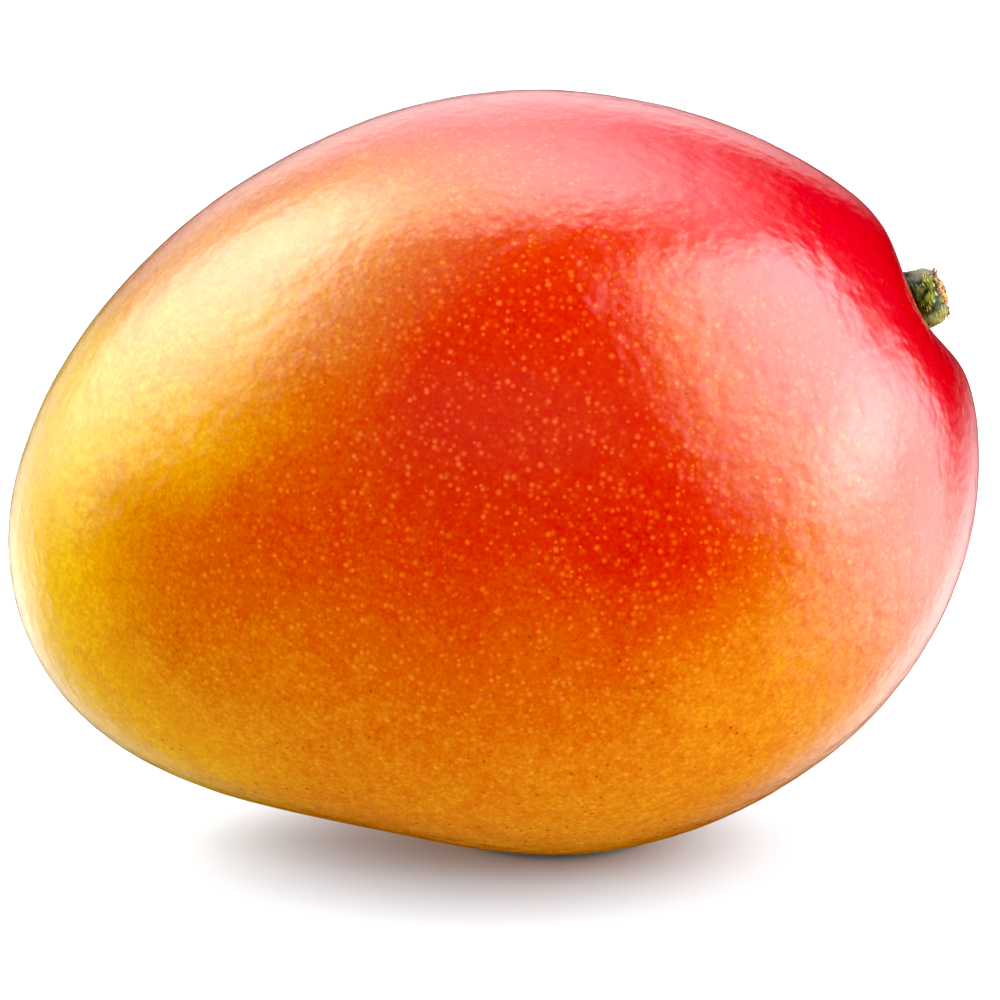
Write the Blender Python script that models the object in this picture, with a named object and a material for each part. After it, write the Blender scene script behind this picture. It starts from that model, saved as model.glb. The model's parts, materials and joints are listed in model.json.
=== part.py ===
"""A ripe mango lying on its side: the whole fruit and the short stub of its stem.

Metres, +Z up. The origin is on the table under the middle of the fruit's box. +X points to the stem end
and -Y to the broad side with the deepest blush.
"""

import math

import bmesh
import bpy
from mathutils import Vector
from mathutils.bvhtree import BVHTree

# Fruit: an egg whose side outline is a circle pushed in and out by a few waves.
MEAN_RADIUS = 0.0548
HALF_THICKNESS = 0.045
STEM_END_THICKER = 0.10  # share of the thickness that the stem end gains and the beak end loses
END_FULLNESS = 0.16  # share that both ends gain, so that seen from above they are round, not pointed
FRUIT_CENTRE = Vector((0.0015, 0.0, 0.0474))
OUTLINE_WAVES = (  # crests, height as a share of the radius, direction of one crest above +X in degrees
    (2, 0.128, 7.5),  # long and low, tipped up towards the stem
    (3, 0.0325, -44.8),  # full belly under the stem end, high back over the beak
    (4, 0.026, 17.6),
    (5, 0.0083, -12.3),
    (6, 0.0045, 29.5),
)
FACE_STEPS = 24  # quads along each of the six faces of the cube that becomes the skin

# Stem basin: an oval hollow with raised shoulders, and a small pit that holds the stub.
BASIN_UP = math.radians(23.5)
BASIN_BACK = math.radians(4.0)
BASIN_DEPTH = 0.005
BASIN_REACH_ALONG = 0.0087
BASIN_REACH_ACROSS = 0.016
SHOULDER_HEIGHT = 0.0014
SHOULDER_REACH = 0.012
PIT_DEPTH = 0.0008
PIT_REACH = 0.005

# Stem stub: leans out of the basin, widest at its foot, cut off short.
STEM_UP = math.radians(20.0)
STEM_FRONT = math.radians(6.0)
STEM_LENGTH = 0.0052
STEM_FOOT_RADIUS = 0.0046
STEM_END_RADIUS = 0.0031
STEM_END_DOME = 0.0004
STEM_END_ROUND = 0.0005
STEM_SIDES = 40
FOOT_RINGS = 3
SIDE_RINGS = 6
ROUND_RINGS = 3
CLEARANCE = 0.0003  # air between the stub's foot and the skin

FOLD_ANGLE = math.radians(40.0)

SKIN_COLOUR = (0.82, 0.17, 0.02, 1.0)
STEM_COLOUR = (0.22, 0.21, 0.05, 1.0)


def direction(up, back):
    """Unit vector that rises by one angle from +X and turns by the other towards +Y."""
    return Vector((math.cos(up) * math.cos(back), math.sin(back), math.sin(up) * math.cos(back)))


def outline_scale(unit):
    """How far the outline waves push the skin out or in, along this direction from the centre."""
    reach = math.hypot(unit.x, unit.z)
    angle = math.atan2(unit.z, unit.x)
    return 1.0 + sum(
        height * reach**crests * math.cos(crests * (angle - math.radians(crest)))
        for crests, height, crest in OUTLINE_WAVES
    )


def smooth_skin_point(unit):
    """The skin along this direction before the basin is pressed in."""
    radius = MEAN_RADIUS * outline_scale(unit)
    thickness = HALF_THICKNESS * (1.0 + STEM_END_THICKER * unit.x + END_FULLNESS * unit.x**2)
    return FRUIT_CENTRE + Vector((radius * unit.x, thickness * unit.y, radius * unit.z))


def basin_frame():
    """Middle of the basin on the smooth skin, and the outward normal there."""
    step = 0.001
    middle = smooth_skin_point(direction(BASIN_UP, BASIN_BACK))
    upwards = smooth_skin_point(direction(BASIN_UP + step, BASIN_BACK)) - middle
    backwards = smooth_skin_point(direction(BASIN_UP, BASIN_BACK + step)) - middle
    return middle, backwards.cross(upwards).normalized()


def basin_push(offset):
    """Height of the skin over the smooth shape, at this offset from the middle of the basin."""
    across = offset.y**2
    whole = offset.length_squared
    oval = across / BASIN_REACH_ACROSS**2 + (whole - across) / BASIN_REACH_ALONG**2
    return (
        SHOULDER_HEIGHT * math.exp(-whole / SHOULDER_REACH**2)
        - BASIN_DEPTH * math.exp(-oval)
        - PIT_DEPTH * math.exp(-whole / PIT_REACH**2)
    )


def skin_point(unit, middle, normal):
    smooth = smooth_skin_point(unit)
    return smooth + basin_push(smooth - middle) * normal


def cube_direction(corner):
    """Direction of a point on the cube, spaced by angle so that the quads stay even."""
    return Vector([math.tan(value * math.pi / 4.0) for value in corner]).normalized()


def make_material(name, colour, roughness):
    material = bpy.data.materials.new(name)
    material.use_nodes = True
    shader = material.node_tree.nodes["Principled BSDF"]
    shader.inputs["Base Color"].default_value = colour
    shader.inputs["Roughness"].default_value = roughness
    shader.inputs["Metallic"].default_value = 0.0
    return material


def add_object(name, bm, material, origin=Vector()):
    """Turns the mesh into an object with this origin, smooth all over but for the edges that are folds."""
    bmesh.ops.recalc_face_normals(bm, faces=bm.faces[:])
    bmesh.ops.translate(bm, vec=-origin, verts=bm.verts[:])
    for face in bm.faces:
        face.smooth = True
    for edge in bm.edges:
        if edge.calc_face_angle(0.0) > FOLD_ANGLE:
            edge.smooth = False
    mesh = bpy.data.meshes.new(name)
    bm.to_mesh(mesh)
    bm.free()
    mesh.materials.append(material)
    obj = bpy.data.objects.new(name, mesh)
    obj.location = origin
    bpy.context.scene.collection.objects.link(obj)
    return obj


def add_fruit():
    """The whole fruit, one solid, cut flat where its weight presses it on the table."""
    middle, normal = basin_frame()
    bm = bmesh.new()
    bmesh.ops.create_cube(bm, size=2.0)
    bmesh.ops.subdivide_edges(bm, edges=bm.edges[:], cuts=FACE_STEPS - 1, use_grid_fill=True)
    for vert in bm.verts:
        vert.co = skin_point(cube_direction(vert.co), middle, normal)
    table = bmesh.ops.bisect_plane(
        bm,
        geom=bm.verts[:] + bm.edges[:] + bm.faces[:],
        dist=1e-7,
        plane_co=(0.0, 0.0, 0.0),
        plane_no=(0.0, 0.0, -1.0),
        clear_outer=True,
    )
    rim = [item for item in table["geom_cut"] if isinstance(item, bmesh.types.BMEdge)]
    bmesh.ops.contextual_create(bm, geom=rim)
    for edge in rim:
        edge.smooth = False
    return add_object("fruit", bm, make_material("mango_skin", SKIN_COLOUR, 0.35))


def stem_radius(share):
    """Radius from the foot, share 0, to the cut end, share 1: it narrows as a barrel does."""
    return STEM_FOOT_RADIUS - (STEM_FOOT_RADIUS - STEM_END_RADIUS) * share**2


def stem_rings(foot, axis, spokes, skin):
    """Rings of points: out over the foot, up the side, then in over the cut end."""

    def ring(radius, heights):
        return [foot + axis * height + spoke * radius for spoke, height in zip(spokes, heights)]

    def seat(radius):
        """Height over the foot's middle at which each spoke clears the skin."""
        starts = ring(radius, [STEM_LENGTH * 2.0] * STEM_SIDES)
        return [(skin.ray_cast(start, -axis)[0] - foot).dot(axis) + CLEARANCE for start in starts]

    rings = []
    for number in range(1, FOOT_RINGS + 1):
        radius = STEM_FOOT_RADIUS * number / FOOT_RINGS
        rings.append(ring(radius, seat(radius)))
    seat_heights = seat(STEM_FOOT_RADIUS)
    shoulder = STEM_LENGTH - STEM_END_ROUND
    for number in range(1, SIDE_RINGS + 1):
        share = number / SIDE_RINGS
        heights = [low + (shoulder - low) * share for low in seat_heights]
        rings.append(ring(stem_radius(share), heights))
    for number in range(1, ROUND_RINGS + 1):
        turn = 0.5 * math.pi * number / ROUND_RINGS
        radius = STEM_END_RADIUS - STEM_END_ROUND * (1.0 - math.cos(turn))
        rings.append(ring(radius, [shoulder + STEM_END_ROUND * math.sin(turn)] * STEM_SIDES))
    return rings


def next_around(ring):
    return zip(ring, ring[1:] + ring[:1])


def add_stem(fruit):
    """The stub of the stem, standing in the pit with its foot shaped to the skin."""
    axis = direction(STEM_UP, -STEM_FRONT)
    side = axis.cross(Vector((0.0, 0.0, 1.0))).normalized()
    up = side.cross(axis)
    turns = [2.0 * math.pi * number / STEM_SIDES for number in range(STEM_SIDES)]
    spokes = [math.cos(turn) * side + math.sin(turn) * up for turn in turns]
    skin = BVHTree.FromPolygons(
        [vert.co for vert in fruit.data.vertices], [face.vertices for face in fruit.data.polygons]
    )
    basin_middle, basin_normal = basin_frame()
    foot = skin.ray_cast(basin_middle + basin_normal * MEAN_RADIUS, -basin_normal)[0]
    bm = bmesh.new()
    rings = [[bm.verts.new(co) for co in ring] for ring in stem_rings(foot, axis, spokes, skin)]
    for lower, upper in zip(rings, rings[1:]):
        for (low, low_next), (high, high_next) in zip(next_around(lower), next_around(upper)):
            bm.faces.new((low, low_next, high_next, high))
    foot_middle = bm.verts.new(foot + axis * CLEARANCE)
    end_middle = bm.verts.new(foot + axis * (STEM_LENGTH + STEM_END_DOME))
    for middle, ring in ((foot_middle, rings[0]), (end_middle, rings[-1])):
        for vert, following in next_around(ring):
            bm.faces.new((middle, vert, following))
    stem = add_object("stem", bm, make_material("dried_stem", STEM_COLOUR, 0.8), origin=foot)
    stem.parent = fruit


def main():
    for obj in list(bpy.data.objects):
        bpy.data.objects.remove(obj, do_unlink=True)
    fruit = add_fruit()
    add_stem(fruit)


main()
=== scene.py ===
"""A ripe mango lying on its side on a white table, lit by studio softboxes.

Metres, +Z up, +X towards the stem end, -Y towards the broad side with the deepest blush.
"""

import json
import math

import bmesh
import bpy
from bpy.props import FloatProperty, FloatVectorProperty, IntProperty, PointerProperty
from mathutils import Matrix, Vector, noise

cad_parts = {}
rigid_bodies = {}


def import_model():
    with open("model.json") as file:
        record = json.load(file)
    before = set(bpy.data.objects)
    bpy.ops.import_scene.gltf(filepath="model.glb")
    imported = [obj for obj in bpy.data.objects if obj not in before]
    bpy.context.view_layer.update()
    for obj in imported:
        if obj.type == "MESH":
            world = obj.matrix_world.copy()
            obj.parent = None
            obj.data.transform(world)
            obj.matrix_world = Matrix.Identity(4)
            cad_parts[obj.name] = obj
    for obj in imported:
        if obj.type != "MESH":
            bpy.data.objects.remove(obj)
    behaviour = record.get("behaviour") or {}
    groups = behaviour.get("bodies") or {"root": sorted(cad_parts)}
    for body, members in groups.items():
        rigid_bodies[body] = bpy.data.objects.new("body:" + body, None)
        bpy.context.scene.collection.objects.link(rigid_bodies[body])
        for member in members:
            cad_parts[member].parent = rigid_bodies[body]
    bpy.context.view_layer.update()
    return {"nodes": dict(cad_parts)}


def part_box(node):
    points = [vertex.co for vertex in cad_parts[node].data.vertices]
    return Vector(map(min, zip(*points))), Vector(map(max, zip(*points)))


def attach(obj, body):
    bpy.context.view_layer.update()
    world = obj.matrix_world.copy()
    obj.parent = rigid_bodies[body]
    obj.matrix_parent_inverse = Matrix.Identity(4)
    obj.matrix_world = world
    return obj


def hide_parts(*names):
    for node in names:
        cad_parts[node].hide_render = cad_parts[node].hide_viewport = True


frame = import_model()

bl_info = {
    "name": "Mango",
    "version": (1, 0, 0),
    "blender": (4, 5, 0),
    "location": "3D View > Sidebar > Mango",
    "description": "Builds a ripe mango with its stem stub, and the table and lights around it",
    "category": "Add Mesh",
}

MM = 0.001
WHITE = (1.0, 1.0, 1.0, 1.0)
HALF = (0.5, 0.5, 0.5)  # the middle of a noise colour
FIRM_EDGES, SOFT_EDGES = (0.1,) * 4, (0.3,) * 4  # shares of a lamp over which it fades

# Crests, height as a share of the radius, direction of one crest above +X in degrees.
OUTLINE_WAVES = (
    (2, 0.128, 7.5),
    (3, 0.0325, -44.8),
    (4, 0.026, 17.6),
    (5, 0.0083, -12.3),
    (6, 0.0045, 29.5),
)
# The inputs of the skin's node trees, each named like the property that sets it.
OUTLINE_SIZES = ("Mean Radius", "Half Thickness", "Stem End Thicker", "End Fullness")
SKIN_SIZES = (
    *OUTLINE_SIZES,
    "Basin Up",
    "Basin Back",
    "Basin Depth",
    "Basin Along",
    "Basin Across",
    "Shoulder Height",
    "Shoulder Reach",
    "Pit Depth",
    "Pit Reach",
    "Swell Height",
    "Swell Size",
    "Peel Height",
    "Peel Size",
)
SLOPE_STEP = 0.001  # radians, to measure how the skin slopes at the basin

# The side that faced the sun: direction to it, and how far along it (mm) the heavy crimson begins.
SUN_SIDE = (0.518, 0.447, 0.729)
SUN_EDGE = 61.5
# Blush by distance (mm) from the edge of the crimson.
SUN_BLUSH = ((-80.0, 0.0), (-50.0, 0.0), (-30.0, 0.32), (-15.0, 0.56), (-4.0, 0.79), (4.5, 1.0), (40.0, 1.0))
# Patches of blush: centre (mm), half widths (mm), strength.
BLUSH_PATCHES = (
    ((5.5, -44.0, 70.5), (15.5, 32.0, 13.5), 0.49),
    ((-30.0, -44.0, 51.5), (11.5, 32.0, 9.0), 0.35),
    ((16.5, -44.0, 64.0), (8.5, 32.0, 24.0), 0.61),
    ((-39.5, -44.0, 43.5), (11.5, 32.0, 25.5), 0.42),
    ((17.5, -44.0, 72.0), (9.5, 32.0, 13.5), -0.73),
    ((-26.0, -44.0, 91.5), (40.0, 32.0, 14.5), -0.59),
    ((-4.0, -44.0, 53.5), (21.5, 32.0, 26.0), 0.42),
    ((-35.5, -44.0, 55.0), (13.0, 32.0, 10.5), -0.40),
    ((27.5, -44.0, 48.0), (7.0, 32.0, 9.5), 0.27),
)
# Where each pigment stands on the scale of blush.
PIGMENT_STOPS = (
    ("yellow", 0.0),
    ("gold", 0.12),
    ("amber", 0.27),
    ("orange", 0.42),
    ("red_orange", 0.56),
    ("red", 0.70),
    ("scarlet", 0.85),
    ("crimson", 1.0),
)
MOTTLING = ((4.5, 0.07, 2.0), (1.2, 0.10, 1.0), (0.45, 0.16, 1.0))  # size (mm), strength, detail
PEEL_BUMPS = ((2.4, 0.14), (0.9, 0.030))  # size (mm), height (mm)
PORE_DIMPLE = -0.004  # mm
PORE_RADII = (0.8, 1.65)  # smallest and largest, as shares of the usual radius
PORE_CLEARNESS = (0.35, 1.3)
PORE_TINT, PORE_THINNING = 0.42, -0.20
PEEL_LOOK = {
    "Roughness": 0.20,
    "IOR": 1.45,
    "Subsurface Weight": 0.08,
    "Subsurface Radius": (1.0, 0.35, 0.1),
    "Subsurface Scale": 0.004,
    "Coat Weight": 0.35,
    "Coat Roughness": 0.08,
    "Coat IOR": 1.4,
}

# Direction that the stem grows in, above +X and towards -Y.
STEM_UP = math.radians(20.0)
STEM_FRONT = math.radians(6.0)
STEM_AROUND, STEM_ROWS, STEM_CUT_ROWS = 260, 110, 44
RIM_ROUND_START = 0.78  # share of the stem's length
RIM_ROUNDING, RIM_CHIPS = 0.00062, 0.0003
BARK_GRAIN, CUT_GRAIN = 0.00003, 0.00006
CUT_HOLLOW = 0.00012
FLAKES_INSIDE, FLAKES_BELOW = 0.0005, 0.0001  # from the rim and from the cut
FLAKE_CRUMBS, CRUMBS_PER_METRE = 0.0004, 2600.0

LAMP_DISTANCE = 1.5
# Softboxes that the skin mirrors: turn, rise, half width and half height (degrees), radiance, fades, lean (degrees).
SHINE_BOXES = (
    ("left_softbox_shine", -102.0, 29.5, 41.5, 42.5, 9.3, (0.36, 0.62, 0.75, 0.41), -38.5),
    ("right_softbox_shine", 63.8, 27.5, 44.5, 41.0, 8.7, (0.55, 0.26, 0.30, 0.54), 80.0),
    ("low_right_softbox_shine", 88.5, -10.0, 40.5, 36.0, 7.9, (0.36, 0.30, 0.95, 0.34), 14.5),
    ("top_softbox_shine", -174.0, 63.0, 40.0, 41.0, 15.2, (0.90, 0.66, 0.95, 0.34), 23.5),
    ("left_edge_softbox_shine", -136.0, -8.0, 26.0, 22.0, 1.0, (0.35,) * 4, 0.0),
)
# Softboxes that light the pigment: the same, without a lean.
PIGMENT_BOXES = (
    ("left_softbox", -72.0, 54.0, 28.0, 22.0, 4.5, FIRM_EDGES),
    ("front_softbox", -10.0, 17.0, 28.0, 22.0, 2.5, FIRM_EDGES),
    ("right_softbox", 84.0, 27.0, 40.0, 40.0, 3.0, SOFT_EDGES),
    ("low_right_softbox", 60.0, 5.0, 28.0, 22.0, 3.8, FIRM_EDGES),
    ("back_softbox", 180.0, 40.0, 40.0, 25.0, 2.6, SOFT_EDGES),
)
# Lamps for the table only: turn (degrees) and share of the table light.
TABLE_LAMPS = (
    ("table_lamp_front", 0.0, 0.45),
    ("table_lamp_left", -90.0, 0.95),
    ("table_lamp_right", 90.0, 1.0),
    ("table_lamp_back_left", -130.0, 1.15),
    ("table_lamp_back_right", 130.0, 0.95),
)
TABLE_LAMP_RISE, TABLE_LAMP_ANGLE = 25.0, 60.0
GLOW_SIZE, GLOW_HEIGHT = 0.3, 0.0008
CAMERA_TARGET = (0.00095, 0.0, 0.0444)
SENSOR_WIDTH = 36.0


def linear(colour):
    """An sRGB hex colour as linear red, green and blue."""
    shares = [int(colour[start : start + 2], 16) / 255.0 for start in (1, 3, 5)]
    return tuple(s / 12.92 if s <= 0.04045 else ((s + 0.055) / 1.055) ** 2.4 for s in shares)


def size(name, description, default, unit="LENGTH"):
    return FloatProperty(name=name, description=description, default=default, unit=unit, precision=5)


def share(name, description, default):
    return FloatProperty(name=name, description=description, default=default, subtype="FACTOR")


def angle(name, description, degrees):
    return FloatProperty(name=name, description=description, default=math.radians(degrees), subtype="ANGLE")


def colour(name, description, default):
    return FloatVectorProperty(
        name=name, description=description, default=linear(default), subtype="COLOR", size=3, min=0.0, max=1.0
    )


def first_output(node):
    return next(socket for socket in node.outputs if socket.enabled)


def add_node(tree, kind, settings=None, feeds=None):
    """Adds one node, sets its properties and feeds its inputs with constants, sockets or nodes' first outputs."""
    node = tree.nodes.new(kind)
    for name, value in (settings or {}).items():
        setattr(node, name, value)
    for key, value in (feeds or {}).items():
        if isinstance(key, int):
            socket = node.inputs[key]
        else:
            socket = next(s for s in node.inputs if s.enabled and key in (s.name, s.identifier))
        if isinstance(value, bpy.types.Node):
            value = first_output(value)
        if isinstance(value, bpy.types.NodeSocket):
            tree.links.new(value, socket)
        else:
            socket.default_value = value
    return node


def maths(tree, operation, *values):
    return add_node(tree, "ShaderNodeMath", {"operation": operation}, dict(enumerate(values)))


def vector_maths(tree, operation, *values):
    return add_node(tree, "ShaderNodeVectorMath", {"operation": operation}, dict(enumerate(values)))


def measured(tree, operation, *values):
    """A length or a product of two vectors: the number that this vector operation gives."""
    return vector_maths(tree, operation, *values).outputs["Value"]


def scaled(tree, vector, scale):
    return add_node(tree, "ShaderNodeVectorMath", {"operation": "SCALE"}, {"Vector": vector, "Scale": scale})


def parts_of(tree, vector):
    return add_node(tree, "ShaderNodeSeparateXYZ", None, {0: vector}).outputs


def noise_node(tree, place, scale, detail):
    return add_node(tree, "ShaderNodeTexNoise", None, {"Vector": place, "Scale": scale, "Detail": detail})


def mapped(tree, value, start, end, low=0.0, high=1.0, kind="SMOOTHSTEP"):
    """Goes from the low number to the high one while the value goes from its start to its end."""
    feeds = {"Value": value, "From Min": start, "From Max": end, "To Min": low, "To Max": high}
    return add_node(tree, "ShaderNodeMapRange", {"interpolation_type": kind}, feeds)


def laid_over(tree, under, over, amount):
    """A colour painted over another in this amount."""
    feeds = {"Factor": amount, "A": under, "B": (*over, 1.0)}
    return add_node(tree, "ShaderNodeMix", {"data_type": "RGBA"}, feeds)


def direction(up, back):
    """Unit vector that rises by one angle from +X and turns by the other towards +Y."""
    return Vector((math.cos(up) * math.cos(back), math.sin(back), math.sin(up) * math.cos(back)))


def towards(turn, rise):
    """Unit vector: turned from the front (-Y) towards +X by one angle in degrees, raised by the other."""
    turn, rise = math.radians(turn), math.radians(rise)
    return Vector((math.sin(turn) * math.cos(rise), -math.cos(turn) * math.cos(rise), math.sin(rise)))


# ---------------------------------------------------------------------------------------------------------
# Sizes and colours


class MangoFruitSizes(bpy.types.PropertyGroup):
    """The shape of the fruit: an egg with a wavy outline, and a hollow round the stem."""

    mean_radius: size("Mean radius", "Radius of the side outline before its waves", 0.0548)
    half_thickness: size("Half thickness", "From the middle plane to the cheek", 0.045)
    stem_end_thicker: share("Stem end thicker", "Thickness gained at the stem end", 0.10)
    end_fullness: share("End fullness", "Roundness of both ends seen from above", 0.16)
    centre: FloatVectorProperty(
        name="Centre", description="Middle of the fruit", default=(0.0015, 0.0, 0.0474), subtype="TRANSLATION"
    )
    basin_up: angle("Basin height", "Direction of the stem basin above +X", 23.5)
    basin_back: angle("Basin turn", "Direction of the stem basin towards +Y", 4.0)
    basin_depth: size("Basin depth", "How deep the stem basin is pressed in", 0.005)
    basin_along: size("Basin reach up and down", "Half width of the basin along the outline", 0.0087)
    basin_across: size("Basin reach across", "Half width of the basin across the fruit", 0.016)
    shoulder_height: size("Shoulder height", "How far the shoulders rise round the basin", 0.0014)
    shoulder_reach: size("Shoulder reach", "Reach of the shoulders", 0.012)
    pit_depth: size("Pit depth", "Small pit that holds the stem", 0.0008)
    pit_reach: size("Pit reach", "Reach of the small pit", 0.005)
    swell_height: size("Swell height", "Depth of the slow uneven swells in the skin", 0.00022)
    swell_size: size("Swell size", "Distance between slow swells", 0.014)
    peel_height: size("Peel relief height", "Depth of the orange-peel relief", 0.00012)
    peel_size: size("Peel relief size", "Distance between bumps of the peel relief", 0.0042)
    steps: IntProperty(name="Steps", description="Points along each side of the six patches of skin", default=128)


class MangoSkinColours(bpy.types.PropertyGroup):
    """Pigments of the skin, from the unblushed beak to the side that faced the sun."""

    yellow: colour("Yellow", "Ripe ground colour at the beak", "#F3C41C")
    gold: colour("Gold", "Ground colour where the first blush starts", "#DC9A14")
    amber: colour("Amber", "Ground colour of the belly", "#CC7710")
    orange: colour("Orange", "Thin blush over amber", "#C45806")
    red_orange: colour("Red orange", "Medium blush", "#C04200")
    red: colour("Red", "Deep blush on the cheek", "#BE2A00")
    scarlet: colour("Scarlet", "Heavy blush", "#BA1A00")
    crimson: colour("Crimson", "Blush of the side that faced the sun", "#C0001A")
    lenticel: colour("Lenticel", "Pale breathing pores", "#F07030")
    speck: colour("Speck", "Old corky pores and scratches", "#6A3408")
    lenticel_spacing: size("Lenticel spacing", "Distance between pores", 0.00096)
    lenticel_radius: size("Lenticel radius", "Radius of a pore", 0.00036)
    speck_spacing: size("Speck spacing", "Distance between dark specks", 0.0016)
    speck_radius: size("Speck radius", "Radius of a dark speck", 0.00022)
    flower_scar: size("Flower scar", "Radius of the brown spot at the beak", 0.0007)


class MangoStemSizes(bpy.types.PropertyGroup):
    """The cut stub of the stem."""

    length: size("Length", "From its foot to the cut", 0.0050)
    dome: size("Dome", "Rise of the cut face", 0.0006)
    foot_radius: size("Foot radius", "Radius where it leaves the fruit", 0.0043)
    end_radius: size("End radius", "Radius at the cut", 0.0033)
    foot_depth: size("Foot depth", "How far the foot is sunk in the pit", 0.0008)
    lump_depth: size("Lump depth", "Depth of the hollows dried into the bark", 0.00034)
    wrinkle_depth: size("Wrinkle depth", "Depth of the wrinkles round the bark", 0.00009)
    wrinkle_spacing: size("Wrinkle spacing", "Distance between wrinkles", 0.00044)
    bark: colour("Bark", "Olive bark", "#6B7A14")
    # Dark bark in random blotches, and painted shade: near-black towards the foot, where the basin shades the stalk.
    dark_bark_and_foot_shade: colour("Dark bark", "Green, almost black, by the foot", "#141C08")
    # Partly the pale dry bark of the wrinkles' crests, partly a painted highlight where the crests catch the light.
    pale_crest_and_highlight: colour("Pale bark", "Crests of the dry wrinkles", "#CFCB68")
    # Painted highlight: grey laid on the upper side of the stalk, where the light falls on it.
    grey_top_highlight: colour("Grey bark", "Weathered top", "#8E897A")
    bark_sage: colour("Sage bark", "Pale green underside", "#97A662")
    cut: colour("Cut wood", "Dry cut face", "#D9A055")
    cork: colour("Cork", "Brown dried sap", "#5A2A0C")
    flakes: IntProperty(name="Flakes", description="Corky flakes on the rim of the cut", default=34)
    flake_radius: size("Flake size", "Half width of a corky flake", 0.00030)
    # Brown ring on the skin round the stem: partly a corky scar, partly painted shade of the gap between skin and
    # stem.
    scar_and_shade_radius: size("Scar radius", "Reach of the brown scar on the skin round the stem", 0.0047)


class MangoStageSettings(bpy.types.PropertyGroup):
    """The table, the camera and the lights."""

    floor_size: size("Floor size", "Side of the white table", 12.0)
    camera_distance: size("Camera distance", "From the camera to the middle of the fruit", 0.55)
    camera_up: angle("Camera height", "Angle of the camera above the table", 12.0)
    view_width: size("View width", "Width that the camera sees at the fruit", 0.12860)
    table_glow: FloatProperty(name="Table glow", description="Radiance of the table under the fruit", default=1.1)
    table_light: FloatProperty(name="Table light", description="Strength of the lamps on the table", default=10.4)
    fill_light: FloatProperty(name="Fill light", description="Strength of the light from all round", default=0.15)


# ---------------------------------------------------------------------------------------------------------
# Skin shape


def new_tree(name, **sockets):
    """A geometry nodes group with these inputs, and the outputs of its input node."""
    tree = bpy.data.node_groups.new(name, "GeometryNodeTree")
    for title, kind in sockets.items():
        tree.interface.new_socket(title.replace("_", " "), in_out="INPUT", socket_type="NodeSocket" + kind)
    return tree, add_node(tree, "NodeGroupInput").outputs


def outline_tree():
    """Geometry nodes group: the smooth skin point in a given direction from the fruit's centre."""
    tree, given = new_tree(
        "mango outline", Direction="Vector", Centre="Vector", **dict.fromkeys(OUTLINE_SIZES, "Float")
    )
    tree.interface.new_socket("Point", in_out="OUTPUT", socket_type="NodeSocketVector")
    unit = parts_of(tree, given["Direction"])
    x_squared = maths(tree, "MULTIPLY", unit["X"], unit["X"])
    side = maths(tree, "MULTIPLY_ADD", unit["Z"], unit["Z"], x_squared)
    reach = maths(tree, "SQRT", side)
    turn = maths(tree, "ARCTAN2", unit["Z"], unit["X"])
    scale = 1.0
    for crests, height, crest in OUTLINE_WAVES:
        phase = maths(tree, "MULTIPLY_ADD", turn, float(crests), -crests * math.radians(crest))
        swing = maths(tree, "COSINE", phase)
        wave = maths(tree, "MULTIPLY", maths(tree, "POWER", reach, float(crests)), height)
        scale = maths(tree, "MULTIPLY_ADD", swing, wave, scale)
    radius = maths(tree, "MULTIPLY", scale, given["Mean Radius"])
    fuller = maths(tree, "MULTIPLY_ADD", x_squared, given["End Fullness"], 1.0)
    thicker = maths(tree, "MULTIPLY_ADD", unit["X"], given["Stem End Thicker"], fuller)
    thickness = maths(tree, "MULTIPLY", thicker, given["Half Thickness"])
    sizes = add_node(tree, "ShaderNodeCombineXYZ", None, {"X": radius, "Y": thickness, "Z": radius})
    placed = vector_maths(tree, "MULTIPLY_ADD", given["Direction"], sizes, given["Centre"])
    add_node(tree, "NodeGroupOutput", None, {"Point": placed})
    return tree


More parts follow.
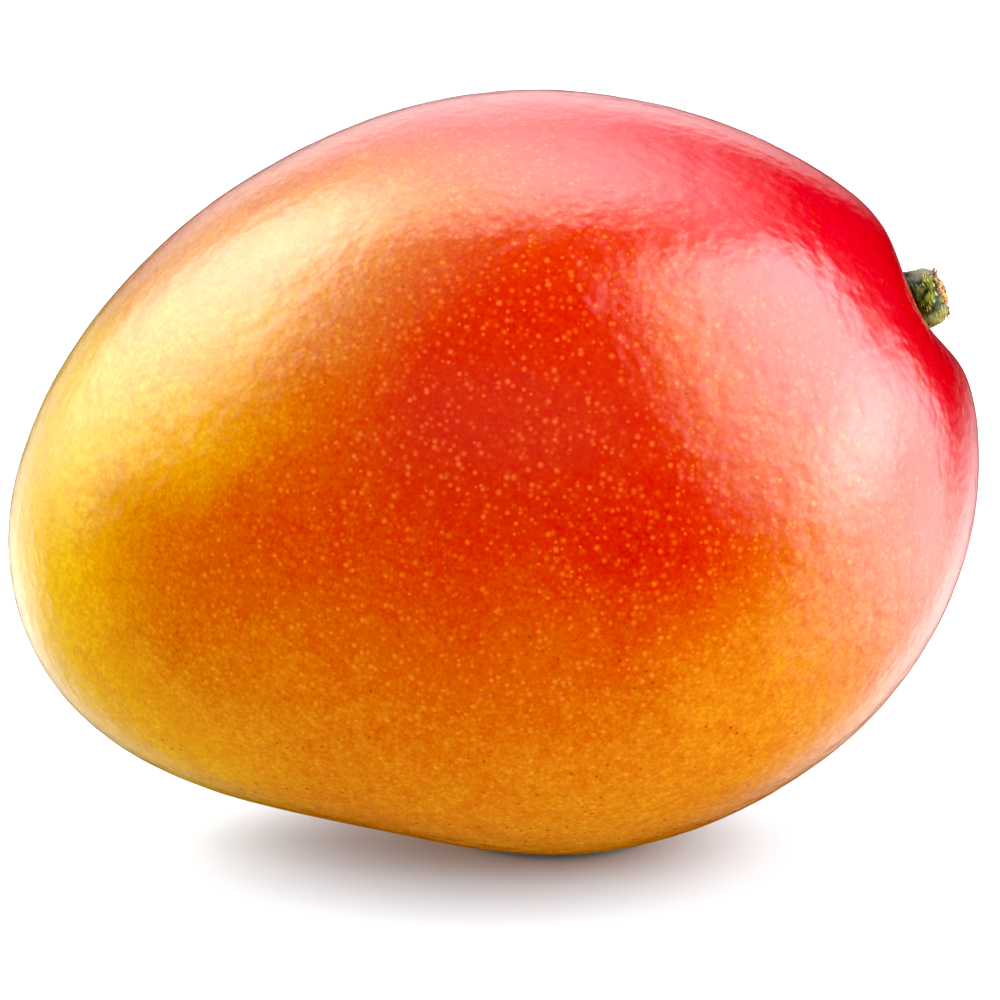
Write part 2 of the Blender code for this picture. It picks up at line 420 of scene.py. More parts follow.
def skin_tree():
    """Geometry nodes: a cube blown up to the fruit, with its stem basin, relief and flat resting spot."""
    tree, given = new_tree(
        "mango skin shape", Steps="Int", Centre="Vector", Skin="Material", **dict.fromkeys(SKIN_SIZES, "Float")
    )
    tree.interface.new_socket("Geometry", in_out="OUTPUT", socket_type="NodeSocketGeometry")
    outline = outline_tree()

    def point_on_outline(unit):
        feeds = {"Direction": unit, **{name: given[name] for name in ("Centre", *OUTLINE_SIZES)}}
        return add_node(tree, "GeometryNodeGroup", {"node_tree": outline}, feeds)

    def point_near_basin(step_up, step_back):
        """Skin point at the basin's middle, or a small step beside it."""
        up = maths(tree, "ADD", given["Basin Up"], step_up)
        back = maths(tree, "ADD", given["Basin Back"], step_back)
        cos_back = maths(tree, "COSINE", back)
        feeds = {
            "X": maths(tree, "MULTIPLY", maths(tree, "COSINE", up), cos_back),
            "Y": maths(tree, "SINE", back),
            "Z": maths(tree, "MULTIPLY", maths(tree, "SINE", up), cos_back),
        }
        return point_on_outline(add_node(tree, "ShaderNodeCombineXYZ", None, feeds))

    middle = point_near_basin(0.0, 0.0)
    upwards = vector_maths(tree, "SUBTRACT", point_near_basin(SLOPE_STEP, 0.0), middle)
    backwards = vector_maths(tree, "SUBTRACT", point_near_basin(0.0, SLOPE_STEP), middle)
    basin_normal = vector_maths(tree, "NORMALIZE", vector_maths(tree, "CROSS_PRODUCT", backwards, upwards))

    # A cube of even patches. Each point turns into a direction, spaced by angle so that the patches stay even.
    counts = {"Vertices " + axis: given["Steps"] for axis in "XYZ"}
    cube = add_node(tree, "GeometryNodeMeshCube", None, {"Size": (2.0, 2.0, 2.0), **counts})
    corner = add_node(tree, "GeometryNodeInputPosition")
    spread = vector_maths(tree, "TANGENT", scaled(tree, corner, math.pi / 4.0))
    smooth = point_on_outline(vector_maths(tree, "NORMALIZE", spread))

    # The basin: raised shoulders, an oval hollow and a small pit, each a soft bell round the basin's middle.
    offset = vector_maths(tree, "SUBTRACT", smooth, middle)
    whole = measured(tree, "DOT_PRODUCT", offset, offset)
    offset_y = parts_of(tree, offset)["Y"]
    across = maths(tree, "MULTIPLY", offset_y, offset_y)
    along = maths(tree, "SUBTRACT", whole, across)

    def over_square(top, reach):
        return maths(tree, "DIVIDE", top, maths(tree, "MULTIPLY", given[reach], given[reach]))

    oval = maths(tree, "ADD", over_square(across, "Basin Across"), over_square(along, "Basin Along"))
    push = 0.0
    for spread_out, height, sign in (
        (over_square(whole, "Shoulder Reach"), "Shoulder Height", 1.0),
        (oval, "Basin Depth", -1.0),
        (over_square(whole, "Pit Reach"), "Pit Depth", -1.0),
    ):
        bell = maths(tree, "EXPONENT", maths(tree, "MULTIPLY", spread_out, -1.0))
        push = maths(tree, "MULTIPLY_ADD", bell, maths(tree, "MULTIPLY", given[height], sign), push)
    skin = vector_maths(tree, "ADD", smooth, scaled(tree, basin_normal, push))
    shaped = add_node(tree, "GeometryNodeSetPosition", None, {"Geometry": cube, "Position": skin})

    # Relief, always inwards: slow swells and orange peel.
    place = add_node(tree, "GeometryNodeInputPosition")
    relief = 0.0
    for height, reach, detail in (("Swell Height", "Swell Size", 0.0), ("Peel Height", "Peel Size", 1.0)):
        bumps = noise_node(tree, place, maths(tree, "DIVIDE", 1.0, given[reach]), detail)
        relief = maths(tree, "MULTIPLY_ADD", bumps.outputs[0], maths(tree, "MULTIPLY", given[height], -1.0), relief)
    lowered = scaled(tree, add_node(tree, "GeometryNodeInputNormal"), relief)
    rough = add_node(tree, "GeometryNodeSetPosition", None, {"Geometry": shaped, "Offset": lowered})

    # The fruit's weight presses a flat spot where it rests on the table.
    spot = parts_of(tree, add_node(tree, "GeometryNodeInputPosition"))
    level = maths(tree, "MAXIMUM", spot["Z"], 0.0)
    pressed = add_node(tree, "ShaderNodeCombineXYZ", None, {"X": spot["X"], "Y": spot["Y"], "Z": level})
    resting = add_node(tree, "GeometryNodeSetPosition", None, {"Geometry": rough, "Position": pressed})
    smooth_shaded = add_node(tree, "GeometryNodeSetShadeSmooth", None, {"Geometry": resting})
    real = add_node(tree, "GeometryNodeRealizeInstances", None, {"Geometry": smooth_shaded})
    finished = add_node(tree, "GeometryNodeSetMaterial", None, {"Geometry": real, "Material": given["Skin"]})
    add_node(tree, "NodeGroupOutput", None, {"Geometry": finished})
    return tree


def mesh_from_tree(name, tree, values):
    """Runs a geometry node tree with these named inputs and keeps its result as a plain mesh object."""
    maker = bpy.data.objects.new(name + "_maker", bpy.data.meshes.new(name + "_maker"))
    bpy.context.scene.collection.objects.link(maker)
    modifier = maker.modifiers.new(tree.name, "NODES")
    modifier.node_group = tree
    for item in tree.interface.items_tree:
        if item.item_type == "SOCKET" and item.in_out == "INPUT" and item.name in values:
            modifier[item.identifier] = values[item.name]
    graph = bpy.context.evaluated_depsgraph_get()
    mesh = bpy.data.meshes.new_from_object(maker.evaluated_get(graph))
    mesh.name = name
    bpy.data.objects.remove(maker, do_unlink=True)
    piece = bpy.data.objects.new(name, mesh)
    bpy.context.scene.collection.objects.link(piece)
    return piece


# ---------------------------------------------------------------------------------------------------------
# Materials


def new_material(name):
    material = bpy.data.materials.new(name)
    material.use_nodes = True
    tree = material.node_tree
    return material, tree, tree.nodes["Principled BSDF"]


def millimetres(tree):
    """The piece's own coordinates in millimetres."""
    return scaled(tree, add_node(tree, "ShaderNodeTexCoord").outputs["Object"], 1.0 / MM)


def add_bump(tree, height, *sockets):
    """Bumps of this height in millimetres, felt by these sockets of the shader."""
    bump = add_node(tree, "ShaderNodeBump", None, {"Strength": 1.0, "Distance": MM, "Height": height})
    for socket in sockets:
        tree.links.new(bump.outputs[0], socket)


def sun_blush(tree, towards_sun):
    """Blush by how far the skin turns to the sun, as a curve through the points of SUN_BLUSH."""
    first, last = SUN_BLUSH[0][0], SUN_BLUSH[-1][0]
    along = mapped(tree, towards_sun, SUN_EDGE + first, SUN_EDGE + last, kind="LINEAR")
    curve = add_node(tree, "ShaderNodeFloatCurve", None, {"Value": along})
    points = curve.mapping.curves[0].points
    points[0].location, points[1].location = (0.0, SUN_BLUSH[0][1]), (1.0, SUN_BLUSH[-1][1])
    for away, strength in SUN_BLUSH[1:-1]:
        points.new((away - first) / (last - first), strength)
    curve.mapping.update()
    return curve


def blush_of(tree, mm, from_stem):
    """Share of blush over the skin, from 0 on the yellow beak to 1 on the crimson side that faced the sun."""
    # Uneven edges: the place is shifted a few millimetres by slow noise before the blush is worked out.
    drift = noise_node(tree, mm, 1 / 16.0, 3.0).outputs["Color"]
    centred = vector_maths(tree, "SUBTRACT", drift, HALF)
    shifted = vector_maths(tree, "MULTIPLY_ADD", centred, (8.0,) * 3, mm)

    # Ground: yellow at the beak, amber along the belly.
    ground = mapped(tree, parts_of(tree, shifted)["X"], -43.5, -17.0, 0.0, 0.26)
    towards_sun = measured(tree, "DOT_PRODUCT", shifted, SUN_SIDE)
    blush = maths(tree, "SMOOTH_MAX", ground, sun_blush(tree, towards_sun), 0.12)
    for centre, reach, strength in BLUSH_PATCHES:
        shares = vector_maths(tree, "DIVIDE", vector_maths(tree, "SUBTRACT", shifted, centre), reach)
        squared = measured(tree, "DOT_PRODUCT", shares, shares)
        bell = maths(tree, "EXPONENT", maths(tree, "MULTIPLY", squared, -1.0))
        blush = maths(tree, "MULTIPLY_ADD", bell, strength, blush)

    # The blush thins out to orange on the lip of the stem basin, and only the sunniest side turns crimson.
    blush = maths(tree, "ADD", blush, mapped(tree, from_stem, 9.0, 5.0, 0.0, -0.42))
    most = mapped(tree, towards_sun, SUN_EDGE - 10.0, SUN_EDGE + 4.0, 0.80, 1.2)
    blush = maths(tree, "SMOOTH_MIN", blush, most, 0.1)

    # Mottling of the pigment: a fine grain over broader cells, calmer on the yellow.
    calm = mapped(tree, blush, 0.0, 0.40, 0.45, 1.0)
    for scale_mm, amount, detail in MOTTLING:
        cells = noise_node(tree, mm, 1 / scale_mm, detail).outputs[0]
        even = maths(tree, "MULTIPLY", maths(tree, "SUBTRACT", cells, 0.5), calm)
        blush = maths(tree, "MULTIPLY_ADD", even, amount * 2, blush)
    return blush


def round_cells(tree, mm, spacing):
    """Cells of about this spacing, for dots of one kind."""
    return add_node(
        tree, "ShaderNodeTexVoronoi", {"feature": "F1"}, {"Vector": mm, "Scale": MM / spacing, "Randomness": 1.0}
    ).outputs


def pale_pores(tree, mm, colours):
    """Pores: dots, each where the middle of a cell lies close under the skin, so their sizes vary."""
    cells = round_cells(tree, mm, colours.lenticel_spacing)
    chances = parts_of(tree, cells["Color"])
    smallest, largest = (share * colours.lenticel_radius / colours.lenticel_spacing for share in PORE_RADII)
    radius = mapped(tree, chances["Y"], 0.0, 1.0, smallest, largest, "LINEAR")
    dot = mapped(tree, cells["Distance"], 0.0, radius, 1.0, 0.0)
    # Some pores stand out and others hardly show.
    clear = mapped(tree, chances["X"], 0.0, 1.0, *PORE_CLEARNESS, "LINEAR")
    return maths(tree, "MULTIPLY", dot, clear)


def dark_specks(tree, mm, colours):
    """Corky specks, in loose clusters low on the fruit and more of them towards the stem end."""
    cells = round_cells(tree, mm, colours.speck_spacing)
    radius = colours.speck_radius / colours.speck_spacing
    speck = mapped(tree, cells["Distance"], radius * 0.5, radius * 1.3, 1.0, 0.0)
    cluster = noise_node(tree, mm, 1 / 9.0, 1.0).outputs[0]
    place = parts_of(tree, mm)
    crowd = maths(tree, "ADD", cluster, mapped(tree, place["Z"], 6.0, 40.0, 0.16, -0.06))
    crowd = maths(tree, "ADD", crowd, mapped(tree, place["X"], -30.0, 15.0, -0.07, 0.02))
    return maths(tree, "MULTIPLY", speck, mapped(tree, crowd, 0.46, 0.66, 0.0, 0.8))


def mango_peel(colours, stem_foot, scar_and_shade_radius, beak):
    """Peel of a ripe mango: waxy, glossy skin, yellow at the beak and amber below, blushed red by the sun.

    Pale pores stand out on the blush, dark corky specks on the belly, and a fine orange peel breaks the gloss.
    """
    material, tree, shader = new_material("ripe mango peel")
    mm = millimetres(tree)
    from_stem = measured(tree, "DISTANCE", mm, stem_foot / MM)
    from_beak = measured(tree, "DISTANCE", mm, beak / MM)
    blush = blush_of(tree, mm, from_stem)

    # The pores show best on medium blush, and hardly on the crimson or the yellow.
    pore = pale_pores(tree, mm, colours)
    shown = maths(tree, "MULTIPLY", pore, mapped(tree, blush, 0.84, 1.0, 1.0, 0.15))
    paler = maths(tree, "MULTIPLY", shown, mapped(tree, blush, 0.10, 0.60, 0.2, 1.0))
    thinned = maths(tree, "MULTIPLY_ADD", paler, PORE_THINNING, blush)

    peel = add_node(tree, "ShaderNodeValToRGB", None, {"Fac": thinned})
    stops = [(position, (*getattr(colours, name), 1.0)) for name, position in PIGMENT_STOPS]
    elements = peel.color_ramp.elements
    elements[0].color, elements[1].color = stops[0][1], stops[-1][1]
    for position, tint in stops[1:-1]:
        elements.new(position).color = tint
    peel = laid_over(tree, peel, colours.lenticel, maths(tree, "MULTIPLY", paler, PORE_TINT))
    peel = laid_over(tree, peel, colours.speck, dark_specks(tree, mm, colours))
    # Brown ring round the foot of the stem, partly a corky scar and partly painted shade of the gap between skin and
    # stem, and a small brown scar at the beak where the flower was.
    for away, reach, fade, strongest in (
        (from_stem, scar_and_shade_radius / MM, 0.7, 0.9),
        (from_beak, colours.flower_scar / MM, 0.9, 0.7),
    ):
        peel = laid_over(tree, peel, colours.speck, mapped(tree, away, reach + fade, reach, 0.0, strongest))
    tree.links.new(first_output(peel), shader.inputs["Base Color"])

    # Orange peel in two sizes, and each pore a tiny dimple.
    height = 0.0
    for scale_mm, tall in PEEL_BUMPS:
        height = maths(tree, "MULTIPLY_ADD", noise_node(tree, mm, 1 / scale_mm, 1.0).outputs[0], tall, height)
    height = maths(tree, "MULTIPLY_ADD", pore, PORE_DIMPLE, height)
    add_bump(tree, height, shader.inputs["Normal"], shader.inputs["Coat Normal"])
    for name, value in PEEL_LOOK.items():
        shader.inputs[name].default_value = value
    return material


def dried_stalk(sizes):
    """Bark and cut wood of a mango stalk left to dry: matt, olive, wrinkled round, with pale crests.

    It is almost black at the foot, as painted shade of the basin, and grey on top as a painted highlight; it is pale
    green below, and tan with brown cork on the cut. Its pale crests are partly dry bark and partly a painted
    highlight where the wrinkles catch the light.
    The mesh gives "along" (0 foot, 1 rim, 2 middle of the cut), "upper" (-1 below, 1 on top) and "crest".
    """
    material, tree, shader = new_material("dried mango stalk")
    mm = millimetres(tree)

    def stored(name):
        return add_node(tree, "ShaderNodeAttribute", {"attribute_name": name}).outputs["Fac"]

    def step(value, start, end, top=1.0):
        return mapped(tree, value, start, end, 0.0, top)

    along, upper, crest = stored("along"), stored("upper"), stored("crest")
    blotch = noise_node(tree, mm, 1 / 1.5, 3.0).outputs[0]
    fleck = noise_node(tree, mm, 1 / 0.45, 2.0).outputs[0]
    strayed = maths(tree, "MULTIPLY_ADD", blotch, 0.5, along)
    top_side = maths(tree, "MULTIPLY_ADD", blotch, 0.6, upper)
    # Pale crests towards the cut end: partly dry bark, partly a painted highlight.
    pale = maths(tree, "MULTIPLY", step(crest, 0.04, 0.55, 0.75), step(strayed, 0.66, 0.98))
    corky = maths(tree, "MULTIPLY", step(fleck, 0.47, 0.58), step(along, 0.94, 1.02))
    tint = (*sizes.bark, 1.0)
    for over, amount in (
        (sizes.dark_bark_and_foot_shade, step(blotch, 0.36, 0.56)),
        (sizes.bark_sage, step(top_side, 0.15, -0.55, 0.8)),
        # Painted highlight: grey on the upper side of the stalk.
        (sizes.grey_top_highlight, step(top_side, 0.95, 1.3, 0.7)),
        # Painted shade: near-black towards the foot, where the stalk sits in the basin.
        (sizes.dark_bark_and_foot_shade, step(strayed, 0.98, 0.58, 0.97)),
        # Pale crests: partly dry bark, partly a painted highlight where they catch the light.
        (sizes.pale_crest_and_highlight, pale),
        (sizes.cut, step(along, 0.97, 1.04)),
        (sizes.cork, corky),
    ):
        tint = laid_over(tree, tint, over, amount)
    tree.links.new(first_output(tint), shader.inputs["Base Color"])
    add_bump(tree, maths(tree, "MULTIPLY", fleck, 0.10), shader.inputs["Normal"])
    shader.inputs["Roughness"].default_value = 0.5
    shader.inputs["Specular IOR Level"].default_value = 0.2
    return material


def dried_sap(sizes):
    """Brown crust of sap and cork on the cut: matt, brittle, darker in its hollows."""
    material, tree, shader = new_material("dried mango sap")
    grain = noise_node(tree, millimetres(tree), 1 / 0.5, 3.0).outputs[0]
    ramp = add_node(tree, "ShaderNodeValToRGB", None, {"Fac": grain})
    elements = ramp.color_ramp.elements
    elements[0].position, elements[0].color = 0.50, (*sizes.cork, 1.0)
    elements[1].position, elements[1].color = 0.74, (*sizes.cut, 1.0)
    tree.links.new(ramp.outputs[0], shader.inputs["Base Color"])
    add_bump(tree, maths(tree, "MULTIPLY", grain, 0.08), shader.inputs["Normal"])
    shader.inputs["Roughness"].default_value = 0.6
    return material


# ---------------------------------------------------------------------------------------------------------
# Stem


def furthest(node, away):
    """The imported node's point furthest in a direction."""
    return max((vert.co for vert in frame["nodes"][node].data.vertices), key=lambda co: co.dot(away)).copy()


def stem_place(sizes):
    """Foot of the stem and the direction it grows in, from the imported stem."""
    axis = direction(STEM_UP, -STEM_FRONT)
    return furthest("stem", axis) - axis * (sizes.length + sizes.dome), axis


def beak_place():
    """The beak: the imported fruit's point furthest from the stem end, a little to the back."""
    return furthest("fruit", Vector((-1.0, 0.3, -0.1)))


def limited(value):
    """The value held between 0 and 1."""
    return min(max(value, 0.0), 1.0)


def stem_mesh(sizes, foot, axis):
    """A dried stub: lumpy, wrinkled round, its shoulder rounded over to an uneven cut."""
    side = axis.cross(Vector((0.0, 0.0, 1.0))).normalized()
    up = side.cross(axis)
    bm = bmesh.new()
    marks = {name: bm.verts.layers.float.new(name) for name in ("along", "upper", "crest")}
    rings = []
    rim_radii = [0.0] * STEM_AROUND
    for number in range(STEM_ROWS + STEM_CUT_ROWS):
        on_side = number <= STEM_ROWS
        part = number / STEM_ROWS if on_side else 1.0
        inwards = 0.0 if on_side else (number - STEM_ROWS) / STEM_CUT_ROWS
        ring = []
        for count in range(STEM_AROUND):
            turn = 2.0 * math.pi * count / STEM_AROUND
            spoke = math.cos(turn) * side + math.sin(turn) * up
            radius = sizes.foot_radius - (sizes.foot_radius - sizes.end_radius) * part**3
            height = -sizes.foot_depth + (sizes.length + sizes.foot_depth) * part
            place = (spoke * radius * (1.0 - inwards) + axis * height) / MM
            lumps = noise.noise(place * 0.5) + 0.5 * noise.noise(place * 1.2)
            grain = noise.noise(place * 2.9)
            beat = height / sizes.wrinkle_spacing + 1.6 * noise.noise(place * 0.45) + 0.5 * noise.noise(place * 1.2)
            wave = 0.5 + 0.5 * math.sin(2.0 * math.pi * beat)
            worn = limited(0.5 + 1.6 * noise.noise(place * 0.7 + Vector((9.0, 0.0, 4.0))))
            if on_side:
                sunk = sizes.lump_depth * (0.6 - lumps) + sizes.wrinkle_depth * (1.0 - wave**2 * worn)
                radius -= max(sunk + BARK_GRAIN * grain, 0.0)
                # The rim is chipped, and rounded over the last fifth.
                late = max(part - RIM_ROUND_START, 0.0) / (1.0 - RIM_ROUND_START)
                chip = max(noise.noise(place * 1.1 + Vector((0.0, 5.0, 0.0))), 0.0)
                radius -= late**2 * (RIM_ROUNDING + RIM_CHIPS * chip)
                rim_radii[count] = radius
            else:
                radius = rim_radii[count] * (1.0 - inwards)
                hollow = CUT_HOLLOW * math.sin(math.pi * min(inwards * 2.2, 1.0))
                hollow -= sizes.dome * (1.0 - (1.0 - inwards) ** 2)
                height -= hollow + CUT_HOLLOW * (lumps + 1.0) * min(4.0 * inwards, 1.0) + CUT_GRAIN * grain
            vert = bm.verts.new(foot + axis * height + spoke * radius)
            broken = limited(0.45 + 1.5 * noise.noise(place * 2.1 + Vector((3.0, 7.0, 0.0))))
            vert[marks["along"]] = part + inwards
            vert[marks["upper"]] = spoke.z
            vert[marks["crest"]] = wave**3 * worn * broken if on_side else 0.0
            ring.append(vert)
        rings.append(ring)
    for lower, higher in zip(rings, rings[1:]):
        for count in range(STEM_AROUND):
            after = (count + 1) % STEM_AROUND
            bm.faces.new((lower[count], lower[after], higher[after], higher[count]))
    for ring in (rings[0], rings[-1]):
        middle = bm.verts.new(sum((vert.co for vert in ring), Vector()) / STEM_AROUND)
        middle[marks["along"]] = ring[0][marks["along"]]
        for count in range(STEM_AROUND):
            bm.faces.new((middle, ring[count], ring[(count + 1) % STEM_AROUND]))
    bmesh.ops.recalc_face_normals(bm, faces=bm.faces[:])
    for face in bm.faces:
        face.smooth = True
    mesh = bpy.data.meshes.new("stem_stub")
    bm.to_mesh(mesh)
    bm.free()
    return mesh


def flake_tree():
    """Geometry nodes: brittle flakes scattered round the rim of the cut."""
    tree, given = new_tree(
        "mango sap flakes",
        Flakes="Int",
        Rim_Radius="Float",
        Flake_Radius="Float",
        Middle="Vector",
        Turn="Vector",
        Sap="Material",
    )
    tree.interface.new_socket("Geometry", in_out="OUTPUT", socket_type="NodeSocketGeometry")

    def chance(least, most, seed):
        feeds = {"Min": least, "Max": most, "Seed": seed}
        return add_node(tree, "FunctionNodeRandomValue", {"data_type": "FLOAT_VECTOR"}, feeds)

    feeds = {"Vertices": given["Flakes"], "Radius": given["Rim Radius"]}
    ring = add_node(tree, "GeometryNodeMeshCircle", None, feeds)
    # Gaps and clusters: the points stray along and across the rim.
    stray = chance((-0.0006, -0.0006, -0.00025), (0.0006, 0.0006, 0.00004), 5)
    strayed = add_node(tree, "GeometryNodeSetPosition", None, {"Geometry": ring, "Offset": stray})
    flake = add_node(tree, "GeometryNodeMeshIcoSphere", None, {"Radius": given["Flake Radius"], "Subdivisions": 3})
    feeds = {
        "Points": strayed,
        "Instance": flake,
        "Rotation": chance((-0.7, -0.7, 0.0), (0.7, 0.7, 6.28), 17),
        "Scale": chance((0.5, 0.4, 0.2), (1.5, 1.1, 0.45), 11),
    }
    placed = add_node(tree, "GeometryNodeInstanceOnPoints", None, feeds)
    real = add_node(tree, "GeometryNodeRealizeInstances", None, {"Geometry": placed})
    crumbs = noise_node(tree, add_node(tree, "GeometryNodeInputPosition"), CRUMBS_PER_METRE, 1.0).outputs["Color"]
    broken = scaled(tree, vector_maths(tree, "SUBTRACT", crumbs, HALF), FLAKE_CRUMBS)
    crumbly = add_node(tree, "GeometryNodeSetPosition", None, {"Geometry": real, "Offset": broken})
    feeds = {"Geometry": crumbly, "Translation": given["Middle"], "Rotation": given["Turn"]}
    moved = add_node(tree, "GeometryNodeTransform", None, feeds)
    finished = add_node(tree, "GeometryNodeSetMaterial", None, {"Geometry": moved, "Material": given["Sap"]})
    add_node(tree, "NodeGroupOutput", None, {"Geometry": finished})
    return tree


# ---------------------------------------------------------------------------------------------------------
# Operators


class MANGO_OT_fruit(bpy.types.Operator):
    """Build the skin of the mango"""

    bl_idname = "mango.fruit"
    bl_label = "Fruit"

    def execute(self, context):
        sizes = context.scene.mango_fruit
        stem = context.scene.mango_stem
        values = {name: getattr(sizes, name.lower().replace(" ", "_")) for name in SKIN_SIZES}
        values["Steps"] = sizes.steps
        values["Centre"] = sizes.centre
        values["Skin"] = mango_peel(context.scene.mango_skin, stem_place(stem)[0], stem.scar_and_shade_radius, beak_place())
        fruit = mesh_from_tree("mango_skin", skin_tree(), values)
        if len(fruit.data.polygons) < 1000:
            raise RuntimeError("the skin's node tree made no mesh")
        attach(fruit, "root")
        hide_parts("fruit")
        return {"FINISHED"}


class MANGO_OT_stem(bpy.types.Operator):
    """Build the stub of the stem"""

    bl_idname = "mango.stem"
    bl_label = "Stem stub"

    def execute(self, context):
        sizes = context.scene.mango_stem
        foot, axis = stem_place(sizes)
        mesh = stem_mesh(sizes, foot, axis)
        mesh.materials.append(dried_stalk(sizes))
        stem = bpy.data.objects.new("stem_stub", mesh)
        context.scene.collection.objects.link(stem)
        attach(stem, "root")
        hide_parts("stem")
        values = {
            "Flakes": sizes.flakes,
            "Rim Radius": sizes.end_radius - FLAKES_INSIDE,
            "Flake Radius": sizes.flake_radius,
            "Middle": foot + axis * (sizes.length - FLAKES_BELOW),
            "Turn": axis.to_track_quat("Z", "Y").to_euler(),
            "Sap": dried_sap(sizes),
        }
        flakes = mesh_from_tree("stem_flakes", flake_tree(), values)
        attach(flakes, "root")
        return {"FINISHED"}


def softbox_receivers():
    """The softboxes light the mango and leave the table to its own lamps."""
    name = "lit_by_softboxes"
    if name not in bpy.data.collections:
        lit = bpy.data.collections.new(name)
        for piece in bpy.context.scene.objects:
            if piece.type == "MESH":
                lit.objects.link(piece)
        lit.objects.unlink(bpy.data.objects["table_top"])
    return bpy.data.collections[name]


def add_softbox(name, aim, turn, rise, half_wide, half_high, radiance, fades, lean=0.0, shine_only=False):
    """A soft rectangular lamp that faces the fruit, as wide and high as these half angles (degrees) seen from it.

    It dims towards its four edges (near side, far side, lower, upper) over these shares of its width and height,
    and leans over by an angle in degrees. The skin mirrors it, or else its pigment is lit by it.
    """
    lamp = bpy.data.lights.new(name, "AREA")
    lamp.shape = "RECTANGLE"
    lamp.size = 2.0 * LAMP_DISTANCE * math.tan(math.radians(half_wide))
    lamp.size_y = 2.0 * LAMP_DISTANCE * math.tan(math.radians(half_high))
    lamp.energy = radiance * lamp.size * lamp.size_y * math.pi
    lamp.use_nodes = True
    tree = lamp.node_tree
    place = parts_of(tree, add_node(tree, "ShaderNodeNewGeometry").outputs["Parametric"])
    strength = 1.0
    for axis, edge, inside in (
        ("X", 0.0, fades[0]),
        ("X", 1.0, 1.0 - fades[1]),
        ("Y", 0.0, fades[2]),
        ("Y", 1.0, 1.0 - fades[3]),
    ):
        strength = maths(tree, "MULTIPLY", mapped(tree, place[axis], edge, inside), strength)
    tree.links.new(strength.outputs[0], tree.nodes["Emission"].inputs["Strength"])
    box = bpy.data.objects.new(name, lamp)
    away = towards(turn, rise)
    box.location = aim + away * LAMP_DISTANCE
    turned = away.to_track_quat("Z", "Y").to_matrix() @ Matrix.Rotation(math.radians(lean), 3, "Z")
    box.rotation_euler = turned.to_euler()
    box.visible_camera = False
    box.visible_diffuse = not shine_only
    box.visible_glossy = shine_only
    bpy.context.scene.collection.objects.link(box)
    if not shine_only:
        box.light_linking.receiver_collection = softbox_receivers()


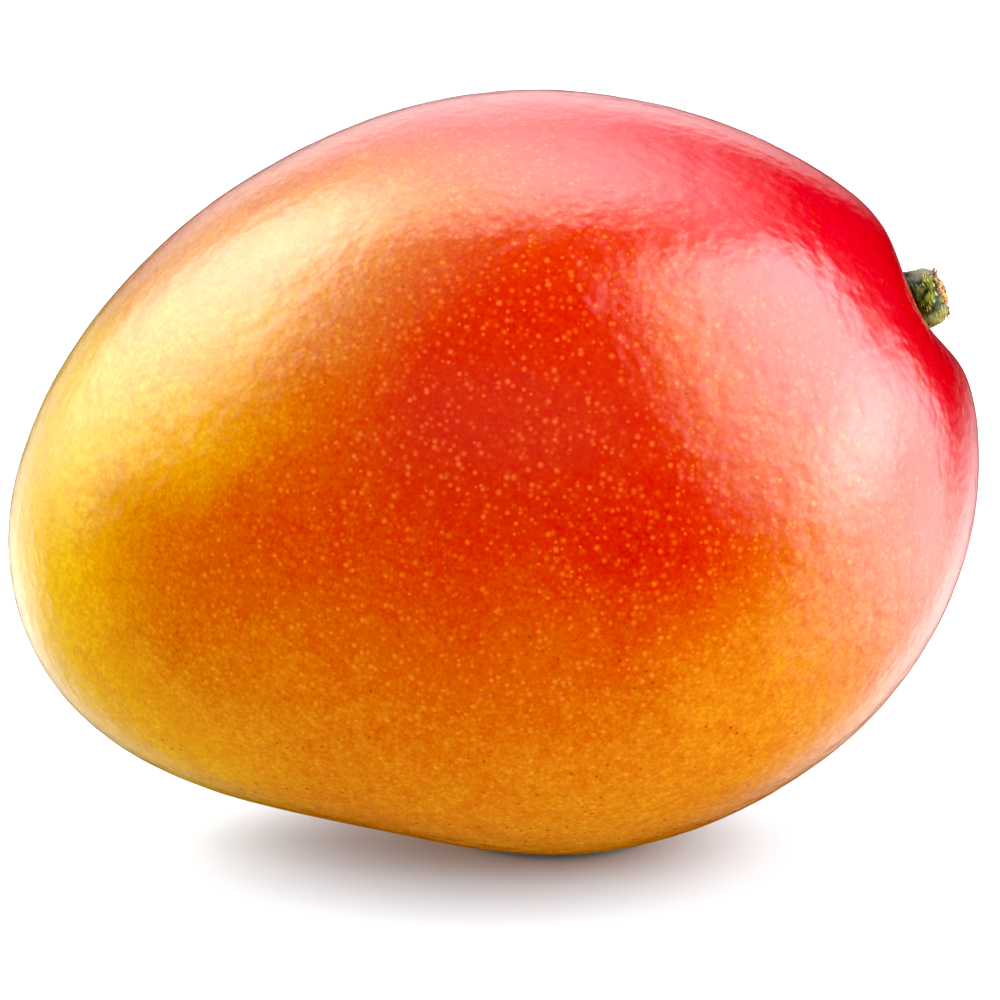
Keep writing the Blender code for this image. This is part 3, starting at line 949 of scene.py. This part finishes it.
class MANGO_OT_stage(bpy.types.Operator):
    """Add the white table, the lights and the camera"""

    bl_idname = "mango.stage"
    bl_label = "Stage"

    def execute(self, context):
        settings = context.scene.mango_stage
        middle = Vector((0.0, 0.0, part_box("fruit")[1].z / 2))
        self.add_floor(context, settings)
        self.add_world(context, settings)
        for name, *values in SHINE_BOXES:
            add_softbox(name, middle, *values, shine_only=True)
        for name, *values in PIGMENT_BOXES:
            add_softbox(name, middle, *values)
        self.add_table_glow(context, settings)
        self.add_camera(context, settings)
        view = context.scene.view_settings
        view.view_transform = "Standard"
        # The camera's black point, which keeps the deep red free of haze.
        view.use_curve_mapping = True
        view.curve_mapping.black_level = (0.014,) * 3
        return {"FINISHED"}

    def add_floor(self, context, settings):
        half = settings.floor_size / 2
        mesh = bpy.data.meshes.new("table_top")
        mesh.from_pydata([(-half, -half, 0), (half, -half, 0), (half, half, 0), (-half, half, 0)], [], [(0, 1, 2, 3)])
        material, tree, shader = new_material("white acrylic table")
        # The table is lit until it shows pure white, but throws only a soft glow back on the fruit. Being dark under
        # strong lamps, it hardly takes the fruit's orange glow into the shadow, and it shines through a little.
        seen = add_node(tree, "ShaderNodeLightPath").outputs["Is Camera Ray"]
        white = laid_over(tree, (0.013, 0.013, 0.013, 1.0), (0.285, 0.295, 0.312), seen)
        glow = maths(tree, "MULTIPLY", seen, 0.008)
        tree.links.new(first_output(white), shader.inputs["Base Color"])
        tree.links.new(first_output(glow), shader.inputs["Emission Strength"])
        shader.inputs["Emission Color"].default_value = WHITE
        shader.inputs["Roughness"].default_value = 0.9
        shader.inputs["Specular IOR Level"].default_value = 0.0
        mesh.materials.append(material)
        floor = bpy.data.objects.new("table_top", mesh)
        context.scene.collection.objects.link(floor)
        floor.visible_glossy = False
        floor.visible_shadow = False
        lit = bpy.data.collections.new("lit_by_table_lamps")
        lit.objects.link(floor)
        for name, turn, strength in TABLE_LAMPS:
            sun = bpy.data.objects.new(name, bpy.data.lights.new(name, "SUN"))
            sun.data.energy = settings.table_light * strength
            sun.data.angle = math.radians(TABLE_LAMP_ANGLE)
            sun.rotation_euler = towards(turn, TABLE_LAMP_RISE).to_track_quat("Z", "Y").to_euler()
            context.scene.collection.objects.link(sun)
            sun.light_linking.receiver_collection = lit

    def add_table_glow(self, context, settings):
        """The table is lit from below too: a soft glow on the underside of the fruit."""
        lamp = bpy.data.lights.new("table_glow", "AREA")
        lamp.size = GLOW_SIZE
        lamp.energy = settings.table_glow * lamp.size**2 * math.pi
        glow = bpy.data.objects.new("table_glow", lamp)
        glow.location = (0.0, 0.0, GLOW_HEIGHT)
        glow.rotation_euler = (math.pi, 0.0, 0.0)
        glow.visible_camera = False
        glow.visible_glossy = False
        context.scene.collection.objects.link(glow)

    def add_world(self, context, settings):
        """White to the camera, a faint even light on the pigment, and in the skin's shine a mirrored studio."""
        world = bpy.data.worlds.new("studio")
        context.scene.world = world
        world.use_nodes = True
        world.cycles.sampling_method = "NONE"
        tree = world.node_tree
        tree.nodes.clear()
        path = add_node(tree, "ShaderNodeLightPath").outputs
        way = add_node(tree, "ShaderNodeTexCoord").outputs["Generated"]
        x, y, z = parts_of(tree, way)
        # Mirrored surroundings: dark in front, a white sweep behind that is brighter to the left and higher up,
        # the lit table to the left and the right, and its shaded part below.
        sweep = measured(tree, "DOT_PRODUCT", way, (-0.12, 1.0, 0.30))
        sky = maths(tree, "MULTIPLY", mapped(tree, sweep, 0.89, 1.07, 0.0, 1.6), mapped(tree, z, -0.15, 0.35))
        table = 2.1
        for where, start, end in (
            (maths(tree, "ABSOLUTE", x), 0.12, 0.5),
            (x, -2.0, 0.8),
            (maths(tree, "MULTIPLY_ADD", x, 0.35, y), -0.1, 0.5),
            (z, 0.02, -0.36),
            (z, -0.85, -0.35),
        ):
            table = maths(tree, "MULTIPLY", mapped(tree, where, start, end), table)
        low = maths(tree, "ADD", table, mapped(tree, z, -0.35, -0.9, 0.0, 0.06))
        mirrored = maths(tree, "ADD", sky, low)

        def either(ray, otherwise, strength):
            feeds = {"Factor": path[ray], "A": otherwise, "B": strength}
            return add_node(tree, "ShaderNodeMix", {"data_type": "FLOAT"}, feeds)

        shown = either("Is Camera Ray", either("Is Glossy Ray", settings.fill_light, mirrored), 1.0)
        background = add_node(tree, "ShaderNodeBackground", None, {"Color": WHITE, "Strength": shown})
        add_node(tree, "ShaderNodeOutputWorld", None, {"Surface": background})

    def add_camera(self, context, settings):
        camera = bpy.data.objects.new("camera", bpy.data.cameras.new("camera"))
        away = towards(0.0, math.degrees(settings.camera_up))
        camera.location = Vector(CAMERA_TARGET) + away * settings.camera_distance
        camera.rotation_euler = (math.radians(90.0) - settings.camera_up, 0.0, 0.0)
        camera.data.sensor_width = SENSOR_WIDTH
        camera.data.lens = SENSOR_WIDTH * settings.camera_distance / settings.view_width
        camera.data.clip_start = 0.01
        context.scene.collection.objects.link(camera)
        context.scene.camera = camera


class MANGO_PT_panel(bpy.types.Panel):
    """Lists the mango's pieces"""

    bl_label = "Mango"
    bl_idname = "MANGO_PT_panel"
    bl_space_type = "VIEW_3D"
    bl_region_type = "UI"
    bl_category = "Mango"

    def draw(self, context):
        for operator in (MANGO_OT_fruit, MANGO_OT_stem, MANGO_OT_stage):
            self.layout.operator(operator.bl_idname)
        for name in GROUPS:
            group = getattr(context.scene, name)
            box = self.layout.box()
            for key in group.__annotations__:
                box.prop(group, key)


GROUPS = {
    "mango_fruit": MangoFruitSizes,
    "mango_skin": MangoSkinColours,
    "mango_stem": MangoStemSizes,
    "mango_stage": MangoStageSettings,
}
CLASSES = (*GROUPS.values(), MANGO_OT_fruit, MANGO_OT_stem, MANGO_OT_stage, MANGO_PT_panel)


def register():
    for item in CLASSES:
        bpy.utils.register_class(item)
    for name, group in GROUPS.items():
        setattr(bpy.types.Scene, name, PointerProperty(type=group))


def unregister():
    for name in GROUPS:
        delattr(bpy.types.Scene, name)
    for item in reversed(CLASSES):
        bpy.utils.unregister_class(item)


def main():
    register()
    bpy.ops.mango.fruit()
    bpy.ops.mango.stem()
    bpy.ops.mango.stage()


if __name__ == "__main__":
    main()
